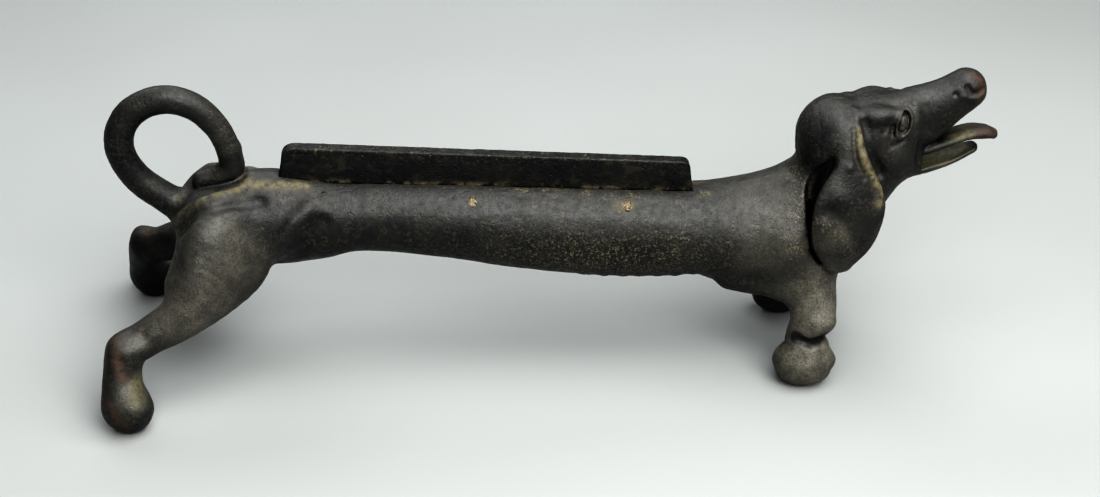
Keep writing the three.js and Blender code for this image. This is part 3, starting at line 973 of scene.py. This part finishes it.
def add_masks(mesh, points):
    """Stores on each vertex how hidden it is, how much dirt of each kind lies there, and where sheen,
    shade and highlights are painted.
    """
    points = on_right(points)
    normals = SKIN.gradient(points)
    crevice = np.zeros(len(points))
    for reach in CREVICE_REACHES:
        open_space = SKIN.sample(points + normals * reach) / reach
        crevice += np.clip(1 - open_space, 0, 1) / len(CREVICE_REACHES)
    set_attribute(mesh, "crevice", crevice)
    # how far each vertex faces up, which sets where the sheen is painted
    set_attribute(mesh, "up", np.clip(normals[:, 2], 0, 1))
    for name, (paths, width) in PATH_MASKS.items():
        set_attribute(mesh, name, zone(points, paths, width))
    thigh = fade(np.abs(points[:, 1]), THIGH_SIDE, THIGH_FADE)
    belly = patch(points, *BELLY_SHADE) * (1 - thigh)
    inner_side = fade(normals[:, 1], *INNER_SLOPE) * fade(-points[:, 2], -INNER_TOP, INNER_FADE)
    # painted shade inside the legs and under the belly, with the deep creases behind the ear and under
    # the wrist
    shade = np.maximum(INNER_PAINTED_SHADE * inner_side, BELLY_PAINTED_SHADE * belly)
    set_attribute(mesh, "painted_shade", np.maximum(zone(points, PAINTED_SHADE_PATHS, PAINTED_SHADE_WIDTH), shade))
    specks = np.maximum(flank_mask(points), SPECK_STRENGTH * zone(points, SPECK_PATHS, SPECK_WIDTH))
    set_attribute(mesh, "speckle", specks)
    ash_and_highlight = np.zeros(len(points))
    for x, z, width, strength in ASH_AND_HIGHLIGHT_PATCHES:
        ash_and_highlight = np.maximum(ash_and_highlight, strength * patch(points, x, z, width))
    # on the hind leg the dust and painted highlight stop where the thigh meets the flank
    hind_leg = (points[:, 0] < HIND_LEG_LIMITS[0]) & (points[:, 2] < HIND_LEG_LIMITS[1])
    set_attribute(mesh, "ash_and_highlight", np.where(hind_leg, ash_and_highlight * thigh, ash_and_highlight))


# ---- Materials, with colours as linear RGB ----

PAINT_COOL = (0.0055, 0.006, 0.0068)
PAINT_WARM = (0.013, 0.0128, 0.012)
PAINT_WORN = (0.032, 0.030, 0.024)
# a lighter grey, laid on upward faces as a painted sheen
PAINTED_SHEEN = (0.021, 0.021, 0.020)
# pale grey-tan, for dust and painted highlights
ASH_AND_HIGHLIGHT = (0.155, 0.146, 0.120)
SPECK = (0.12, 0.104, 0.064)
# tan, for dirt, dust and painted highlights
DIRT_AND_HIGHLIGHT = (0.13, 0.113, 0.068)
SHADE = (0.004, 0.004, 0.0042)
OLIVE = (0.098, 0.091, 0.052)
RUST = (0.052, 0.031, 0.021)
# near black, for the painted deep shade
PAINTED_DEEP_SHADE = (0.0022, 0.0022, 0.0023)
BLADE_COOL = (0.0042, 0.0044, 0.005)
BLADE_WARM = (0.009, 0.0088, 0.008)
BLADE_STAIN = (0.034, 0.030, 0.018)
BLADE_FOOT_DIRT = (0.085, 0.073, 0.046)
RIVET_PALE = (0.17, 0.142, 0.092)
RIVET_BROWN = (0.10, 0.076, 0.048)
RIVET_PIT = (0.02, 0.012, 0.008)
FLOOR_DARK = (0.222, 0.229, 0.226)
FLOOR_PALE = (0.233, 0.241, 0.238)


class Graph:
    """Short helpers for building one material's nodes."""

    def __init__(self, name):
        self.material = bpy.data.materials.new(name)
        self.material.use_nodes = True
        self.tree = self.material.node_tree
        self.shader = self.tree.nodes["Principled BSDF"]
        self.place = self.node("ShaderNodeTexCoord").outputs["Object"]

    def node(self, kind, inputs=None, **values):
        """A new node with its properties set, and its inputs linked or set."""
        made = self.tree.nodes.new(kind)
        for key, value in values.items():
            setattr(made, key, value)
        for key, value in (inputs or {}).items():
            self.link(value, made.inputs[key])
        return made

    def link(self, value, socket):
        if isinstance(value, bpy.types.NodeSocket):
            self.tree.links.new(value, socket)
        elif isinstance(value, tuple):
            socket.default_value = (*value, 1.0)
        else:
            socket.default_value = value

    def noise(self, wavelength, detail=3.0, roughness=0.55):
        """Noise between about 0.3 and 0.7, with its wavelength in millimetres."""
        inputs = {"Vector": self.place, "Scale": 1 / (wavelength * MM), "Detail": detail,
                  "Roughness": roughness}
        return self.node("ShaderNodeTexNoise", inputs).outputs["Fac"]

    def attribute(self, name):
        return self.node("ShaderNodeAttribute", attribute_name=name).outputs["Fac"]

    def ramp(self, value, low, high, start=0.0, end=1.0):
        """Maps low..high onto start..end, smoothly and without going past either."""
        inputs = {"Value": value, "From Min": low, "From Max": high, "To Min": start, "To Max": end}
        return self.node("ShaderNodeMapRange", inputs, interpolation_type="SMOOTHSTEP").outputs["Result"]

    def times(self, a, b):
        return self.node("ShaderNodeMath", {0: a, 1: b}, operation="MULTIPLY").outputs[0]

    def larger(self, a, b):
        return self.node("ShaderNodeMath", {0: a, 1: b}, operation="MAXIMUM").outputs[0]

    def plus(self, a, b):
        return self.node("ShaderNodeMath", {0: a, 1: b}, operation="ADD").outputs[0]

    def mix(self, factor, a, b):
        return self.node("ShaderNodeMix", {"Factor": factor, 6: a, 7: b}, data_type="RGBA").outputs[2]

    def mix_value(self, factor, a, b):
        return self.node("ShaderNodeMix", {"Factor": factor, 2: a, 3: b}, data_type="FLOAT").outputs[0]

    def bump(self, height, depth, normal=None):
        """Bump from a 0..1 height, depth in millimetres."""
        made = self.node("ShaderNodeBump", {"Distance": depth * MM, "Height": height})
        if normal is not None:
            self.link(normal, made.inputs["Normal"])
        return made.outputs["Normal"]

    def done(self, colour, roughness, normal, specular=0.5):
        self.link(colour, self.shader.inputs["Base Color"])
        self.link(roughness, self.shader.inputs["Roughness"])
        self.link(normal, self.shader.inputs["Normal"])
        self.shader.inputs["Metallic"].default_value = 0.0
        self.shader.inputs["Specular IOR Level"].default_value = specular
        return self.material


def painted_casting():
    """Worn black paint under layers of painted sheen, dust and painted highlight, dirt, rust and painted
    shade, each laid over the last.
    """
    g = Graph("painted_casting")
    paint = g.mix(g.ramp(g.noise(24, 4), 0.35, 0.65), PAINT_COOL, PAINT_WARM)
    worn = g.ramp(g.noise(2.4, 4, 0.75), 0.48, 0.64)
    worn_amount = g.times(worn, g.ramp(g.noise(15, 3), 0.38, 0.62, 0.15, 0.9))
    colour = g.mix(worn_amount, paint, PAINT_WORN)
    # painted sheen: upward faces turn lighter grey, standing in for the light from above
    painted_sheen = g.ramp(g.noise(5, 4, 0.7), 0.3, 0.66, 0.3, 1.0)
    painted_sheen = g.times(painted_sheen, g.ramp(g.attribute("up"), 0.1, 0.8))
    colour = g.mix(painted_sheen, colour, PAINTED_SHEEN)
    # pale dust, partly a painted highlight on the lit legs, thigh and eye rim
    ash_and_highlight = g.ramp(g.noise(1.1, 4, 0.8), 0.34, 0.66, 0.28, 0.84)
    ash_and_highlight = g.times(ash_and_highlight, g.ramp(g.noise(10, 3), 0.34, 0.62, 0.56, 0.98))
    ash_and_highlight = g.times(ash_and_highlight, g.attribute("ash_and_highlight"))
    colour = g.mix(ash_and_highlight, colour, ASH_AND_HIGHLIGHT)
    specks = g.ramp(g.noise(1.4, 3, 0.8), 0.53, 0.63)
    where = g.plus(g.ramp(g.noise(11, 3), 0.46, 0.68, 0.03, 0.36), g.attribute("speckle"))
    colour = g.mix(g.times(specks, where), colour, SPECK)
    breakup = g.ramp(g.noise(4.5, 5, 0.75), 0.34, 0.64, 0.12, 0.95)
    crevice = g.ramp(g.attribute("crevice"), 0.30, 0.70)
    dirt_and_highlight = g.times(crevice, g.ramp(g.noise(7, 4), 0.46, 0.68, 0.0, 0.22))
    # tan dust, partly a painted highlight along the crest and the ear's roll
    dirt_and_highlight = g.larger(dirt_and_highlight, g.times(g.attribute("dust_and_highlight"), breakup))
    patches = g.times(g.attribute("grime"), g.ramp(g.noise(8, 5, 0.7), 0.47, 0.62, 0.0, 1.2))
    patches = g.times(patches, g.ramp(g.noise(1.7, 4, 0.8), 0.42, 0.66, 0.0, 0.9))
    dirt_and_highlight = g.larger(dirt_and_highlight, patches)
    shade = g.ramp(g.attribute("crevice"), 0.36, 0.60, 0.0, 0.95)
    colour = g.mix(shade, colour, SHADE)
    colour = g.mix(dirt_and_highlight, colour, DIRT_AND_HIGHLIGHT)
    olive = g.times(g.attribute("olive"), g.ramp(g.noise(2.6, 4), 0.3, 0.62, 0.3, 0.9))
    colour = g.mix(olive, colour, OLIVE)
    rust = g.times(g.attribute("rust"), g.ramp(g.noise(3.4, 5, 0.7), 0.34, 0.6))
    colour = g.mix(rust, colour, RUST)
    # painted deep shade: near black where shade falls, in the ear's gap, under the wrist, under the
    # belly and inside the legs
    painted_shade = g.ramp(g.attribute("painted_shade"), 0.2, 0.7, 0.0, 0.95)
    colour = g.mix(painted_shade, colour, PAINTED_DEEP_SHADE)
    roughness = g.ramp(g.noise(4, 4), 0.3, 0.7, 0.40, 0.58)
    roughness = g.mix_value(g.larger(dirt_and_highlight, rust), roughness, 0.8)
    pits = g.ramp(g.noise(2.2, 2, 0.5), 0.30, 0.46)
    normal = g.bump(g.noise(0.8, 3, 0.7), 0.18)
    normal = g.bump(pits, 0.10, normal)
    return g.done(colour, roughness, normal, specular=0.32)


def blade_iron():
    """The blade's black iron, with dirt specks near its upper rim and dirt at its foot."""
    g = Graph("blade_iron")
    base = g.mix(g.ramp(g.noise(20, 4), 0.35, 0.65), BLADE_COOL, BLADE_WARM)
    stain = g.ramp(g.noise(10, 5, 0.65), 0.52, 0.70, 0.0, 0.55)
    colour = g.mix(stain, base, BLADE_STAIN)
    specks = g.ramp(g.noise(1.8, 4, 0.75), 0.56, 0.66, 0.0, 0.6)
    specks = g.times(specks, g.ramp(g.attribute("rim"), 0.0, 1.0, 0.12, 1.0))
    colour = g.mix(specks, colour, SPECK)
    foot = g.times(g.attribute("foot"), g.ramp(g.noise(12, 5, 0.65), 0.50, 0.60))
    colour = g.mix(foot, colour, BLADE_FOOT_DIRT)
    roughness = g.ramp(g.noise(4, 4), 0.3, 0.7, 0.40, 0.58)
    pits = g.ramp(g.noise(2.6, 3, 0.5), 0.32, 0.46)
    normal = g.bump(g.noise(0.9, 3, 0.7), 0.22)
    normal = g.bump(pits, 0.2, normal)
    return g.done(colour, roughness, normal, specular=0.3)


def rivet_iron():
    """Bare, pitted rivet heads in pale rust."""
    g = Graph("rivet_iron")
    rust = g.mix(g.ramp(g.noise(1.4, 4), 0.35, 0.65), RIVET_PALE, RIVET_BROWN)
    pits = g.ramp(g.noise(1.3, 3), 0.34, 0.48)
    colour = g.mix(pits, RIVET_PIT, rust)
    normal = g.bump(g.noise(0.8, 4, 0.7), 0.35)
    return g.done(colour, g.ramp(g.noise(2, 3), 0.3, 0.7, 0.7, 0.9), normal)


PAINTED = painted_casting()
BLADE = blade_iron()
RIVET = rivet_iron()

# ---- Castings ----

SKIN_POINTS, SKIN_QUADS = SKIN.mesh()
CAVITY_POINTS, CAVITY_QUADS = cavity_mesh()


def half_casting(name, node, side):
    """One half, cut like the real one. The side is -1 for the right half and +1 for the left."""
    points, faces = SKIN_POINTS.copy(), SKIN_QUADS
    hollow_points, hollow_faces = CAVITY_POINTS.copy(), CAVITY_QUADS
    if side > 0:
        # the left ear hangs a little further forward than the right one
        tuck = EAR_TUCK * np.exp(-((points[:, 0] - SHIFT - EAR_REAR_X) / TUCK_LENGTH) ** 2)
        outward = fade(-points[:, 1], EAR_INNER_Y, TUCK_DEPTH)
        tuck *= np.exp(-((points[:, 2] - EAR_MIDDLE_Z) / TUCK_HEIGHT) ** 2) * outward
        points[:, 0] += tuck
        points[:, 1] *= -1
        hollow_points[:, 1] *= -1
        faces, hollow_faces = faces[:, ::-1], hollow_faces[:, ::-1]
    normals = SKIN.gradient(SKIN_POINTS)
    normals[:, 1] *= -side
    body = mesh_object(name, grain(points, normals), faces)
    y0, y1 = (-SEAM, FAR) if side < 0 else (-FAR, SEAM)
    blade_half = float(BLADE_HIGH[1]) + FIT
    cutters = [
        mesh_object("hollow", hollow_points, hollow_faces),
        slab(y0, y1, -FAR, CUT_TOP),
        slab(-CUT_WIDTH, CUT_WIDTH, -FAR, 0),
        prism(blade_outline(FIT), -blade_half, blade_half),
        prism(tang_outline(FIT), -TANG_HALF - FIT, TANG_HALF + FIT),
    ]
    for rivet in RIVETS:
        cutters.append(rivet_hole(rivet, float(box_mm(rivet)[1][1]) + CUTTER_OVERSHOOT))
    cut(body, cutters)
    drop_splinters(body.data)
    add_masks(body.data, vertex_array(body.data))
    finish_piece(body, node, PAINTED)


half_casting("right_casting", "right_body_half", -1)
half_casting("left_casting", "left_body_half", 1)

# ---- Blade ----

def make_blade():
    """The plate with its worn, rounded edges and the tang below it."""
    half = float(BLADE_HIGH[1])
    grid = Grid(
        axis(BLADE_LOW[0] - BLADE_MARGIN, (BLADE_HIGH[0] + BLADE_MARGIN, BLADE_CELL)),
        axis(-half - BLADE_MARGIN, (half + BLADE_MARGIN, BLADE_THIN_CELL)),
        axis(BLADE_LOW[2] - BLADE_MARGIN, (BLADE_HIGH[2] + BLADE_MARGIN, BLADE_CELL)),
    )
    _, x, y, z = grid.window(*EVERYWHERE)
    flat = polygon_distance(x[:, 0, :], z[0], blade_outline())[:, None, :] + BLADE_EDGE
    deep = np.abs(y) - half + BLADE_EDGE
    plate = np.minimum(np.maximum(flat, deep), 0)
    plate = plate + np.hypot(np.maximum(flat, 0), np.maximum(deep, 0)) - BLADE_EDGE
    tang = polygon_distance(x[:, 0, :], z[0], tang_outline())[:, None, :]
    tang = np.maximum(tang, np.abs(y) - TANG_HALF)
    grid.v[:] = np.minimum(plate, tang)
    points, quads = grid.mesh()
    normals = grid.gradient(points)
    relief = layered_noise(points, BLADE_WAVES, BLADE_SEED)
    relief -= pitting(points, BLADE_PITS, BLADE_SEED + 3)
    height = points[:, 2] - spine_height(points[:, 0])
    above = fade(height, BLADE_RELIEF_START, BLADE_RELIEF_FADE)
    relief = np.minimum(relief * above, BLADE_RELIEF_LIMIT)
    blade = mesh_object("scraper_plate", points + normals * relief[:, None], quads)
    cut(blade, [rivet_hole(name, BLADE_HOLE_REACH) for name in RIVETS if name.startswith("blade")])
    co = vertex_array(blade.data)
    height = co[:, 2] - spine_height(co[:, 0])
    set_attribute(blade.data, "foot", np.exp(-(np.maximum(height, 0) / FOOT_FADE) ** 2))
    set_attribute(blade.data, "rim", fade(height, RIM_START, RIM_FADE))
    finish_piece(blade, "scraper_blade", BLADE, BLADE_SHARP)


make_blade()

# ---- Rivets ----

def on_casting(points):
    """Moves points onto the rough skin of the right half, and gives the normals there."""
    for _ in range(SETTLING_STEPS):
        points = points - SKIN.gradient(points) * SKIN.sample(points)[:, None]
    normals = SKIN.gradient(points)
    return grain(points, normals), normals


def make_rivet(node, place, seed):
    """A shank between two peened heads that lie on the skin."""
    rng = np.random.default_rng(seed)
    bare = node in HEAD_RISE
    rise = HEAD_RISE.get(node, PAINTED_RISE)
    radius = BARE_RADIUS if bare else HEAD_RADIUS
    foot = np.array([[place[0], float(box_mm(node)[0][1]), place[2]]])
    for _ in range(FOOT_STEPS):
        foot = foot - SKIN.gradient(foot) * SKIN.sample(foot)[:, None] * (0, 1, 0)
    normal = SKIN.gradient(foot)[0]
    turns = 2 * math.pi * np.arange(RIVET_SIDES) / RIVET_SIDES
    wobble = sum((size * np.sin(lobes * turns + rng.uniform(0, 6)) for size, lobes in HEAD_WOBBLE), 1)
    across = np.cross(normal, (0, 0, 1.0))
    across /= np.linalg.norm(across)
    up = np.cross(across, normal)
    tip, _ = on_casting(foot)
    tip = tip[0] + normal * (rise - HEAD_SINK)
    rows = []
    for lean in np.linspace(0, math.pi / 2, HEAD_RINGS + 1)[1:]:
        ring = radius * math.sin(lean) * wobble
        points = foot[0] + np.outer(ring * np.cos(turns), across) + np.outer(ring * np.sin(turns), up)
        points, normals = on_casting(points)
        rows.append(points + normals * (rise * math.cos(lean) - HEAD_SINK))
    # under the head the shank starts along the skin's normal, and then runs level
    neck = foot[0] - normal * SHANK_START
    shank = RIVET_SHANK * np.stack([np.cos(turns), np.sin(turns)])
    rows.append(neck + np.outer(shank[0], across) + np.outer(shank[1], up))
    level = np.full(RIVET_SIDES, foot[0][1] + SHANK_LEVEL)
    rows.append(np.stack([place[0] + shank[0], level, place[2] + shank[1]], 1))
    loops = rows + [row * (1, -1, 1) for row in reversed(rows)]
    bm = bmesh.new()
    made = [[bm.verts.new(p) for p in loop] for loop in loops]
    for a, b in zip(made[:-1], made[1:]):
        for i in range(RIVET_SIDES):
            j = (i + 1) % RIVET_SIDES
            bm.faces.new((a[i], a[j], b[j], b[i]))
    for end, loop in ((tip, made[0]), (tip * (1, -1, 1), made[-1])):
        pole = bm.verts.new(end)
        for i in range(RIVET_SIDES):
            bm.faces.new((pole, loop[i], loop[(i + 1) % RIVET_SIDES]))
    bmesh.ops.recalc_face_normals(bm, faces=bm.faces[:])
    rivet = bmesh_object(node + "_peened", bm)
    add_masks(rivet.data, vertex_array(rivet.data))
    finish_piece(rivet, node, RIVET if bare else PAINTED, RIVET_SHARP)


for seed, (node, place) in enumerate(RIVETS.items(), RIVET_SEED):
    make_rivet(node, place, seed)

# ---- Stage, in metres ----

FLOOR_HALF = 6
CAMERA_PLACE = (-0.09085, -0.99859, 0.68954)
CAMERA_ANGLES = (31.5, -5.156, 1.845)  # pitch, yaw and roll, in degrees
LENS = 62.47
SENSOR = 36
AIM = (0, 0, 0.05)
# each light's place, size, power in watts and colour
LIGHTS = {
    "overhead": ((0.25, -0.2, 1.3), (1.4, 1.0), 28, (1.0, 1.0, 0.985)),
    "front": ((0.3, -1.25, 1.2), (1.6, 0.8), 34, (1.0, 0.998, 0.985)),
    "back": ((-0.5, 0.9, 1.1), (1.2, 0.7), 10, (0.95, 0.98, 1.0)),
}
SKY = (0.93, 0.97, 1.0, 1)
SKY_STRENGTH = 0.06


def make_floor():
    bm = bmesh.new()
    bmesh.ops.create_grid(bm, x_segments=1, y_segments=1, size=FLOOR_HALF)
    floor = bmesh_object("floor", bm)
    g = Graph("floor_paper")
    colour = g.mix(g.ramp(g.noise(400, 2), 0.3, 0.7), FLOOR_DARK, FLOOR_PALE)
    floor.data.materials.append(g.done(colour, 0.9, g.bump(g.noise(3, 2), 0.02), specular=0.2))


def area_light(name, place, size, power, colour):
    data = bpy.data.lights.new(name, "AREA")
    data.shape = "RECTANGLE"
    data.size, data.size_y = size
    data.energy = power
    data.color = colour
    light = add_object(name, data)
    light.location = place
    light.rotation_euler = (Vector(AIM) - Vector(place)).to_track_quat("-Z", "Y").to_euler()


def make_camera():
    """Looks down on the dog's right side from a little behind its middle."""
    pitch, yaw, roll = (math.radians(angle) for angle in CAMERA_ANGLES)
    level = Vector((-math.sin(yaw), math.cos(yaw), 0))
    side = Vector((math.cos(yaw), math.sin(yaw), 0))
    forward = level * math.cos(pitch) - Vector((0, 0, math.sin(pitch)))
    upward = level * math.sin(pitch) + Vector((0, 0, math.cos(pitch)))
    right = side * math.cos(roll) + upward * math.sin(roll)
    above = -side * math.sin(roll) + upward * math.cos(roll)
    data = bpy.data.cameras.new("camera")
    data.lens = LENS
    data.sensor_width = SENSOR
    camera = add_object("camera", data)
    axes = Matrix((right, above, -forward)).transposed().to_4x4()
    camera.matrix_world = Matrix.Translation(CAMERA_PLACE) @ axes
    bpy.context.scene.camera = camera


def make_world():
    world = bpy.data.worlds.new("studio")
    world.use_nodes = True
    background = world.node_tree.nodes["Background"]
    background.inputs["Color"].default_value = SKY
    background.inputs["Strength"].default_value = SKY_STRENGTH
    bpy.context.scene.world = world
    bpy.context.scene.view_settings.view_transform = "Standard"
    bpy.context.scene.view_settings.look = "Very High Contrast"


make_floor()
make_camera()
for name, settings in LIGHTS.items():
    area_light(name, *settings)
make_world()
